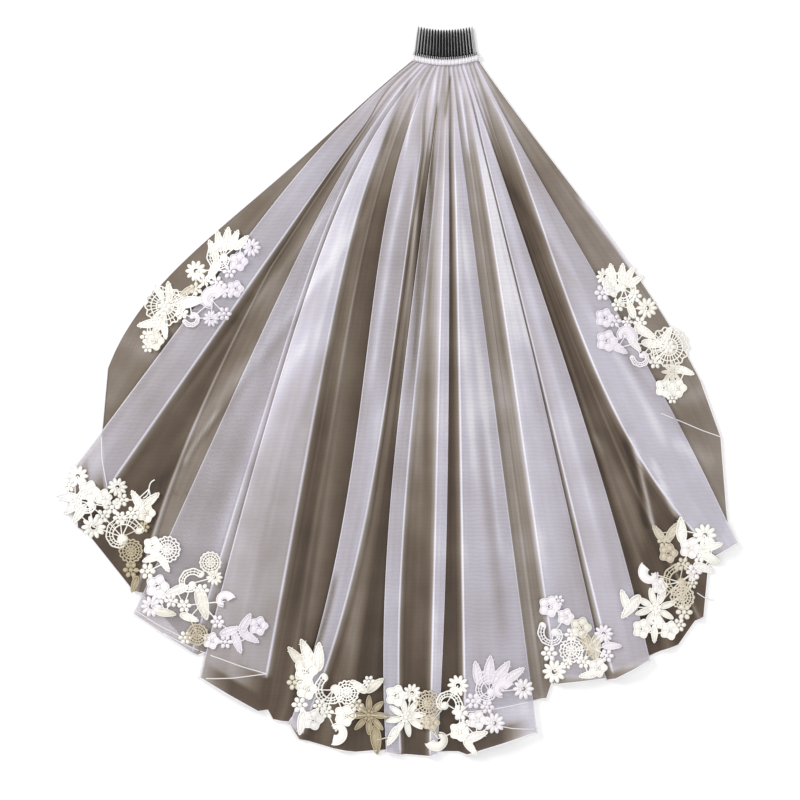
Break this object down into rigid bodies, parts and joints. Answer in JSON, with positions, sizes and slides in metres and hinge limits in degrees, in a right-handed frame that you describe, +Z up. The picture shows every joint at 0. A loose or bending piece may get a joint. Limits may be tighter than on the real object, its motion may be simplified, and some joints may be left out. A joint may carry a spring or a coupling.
{
  "type": "bridal veil on a hair comb, laid flat",
  "caption": "Single-tier tulle bridal veil gathered on a hair comb, laid flat in overlapping pleats, with a corded hem and lace motifs round its edge.",
  "frame": {"origin": "centre of the veil's box, on the plane that the cloth lies on", "axes": "+Z up off the surface, +Y towards the comb, +X to the right as seen from above with the comb at the top"},
  "size_m": [0.8639, 0.9286, 0.0131],
  "materials": {
    "tulle": "sheer pale tulle net, matt with a faint sheen",
    "cord": "white corded edge",
    "binding": "white satin binding",
    "lace": "ivory corded guipure lace",
    "comb": "dark polished plastic"
  },
  "bodies": {
    "root": {"tulle": "tulle", "hem_cord": "cord", "binding": "binding", "comb": "comb", "lace_upper_left": "lace", "lace_upper_right": "lace", "lace_lower_left": "lace", "lace_inner_left": "lace", "lace_bottom": "lace", "lace_inner_right": "lace", "lace_lower_right": "lace"}
  },
  "joints": []
}
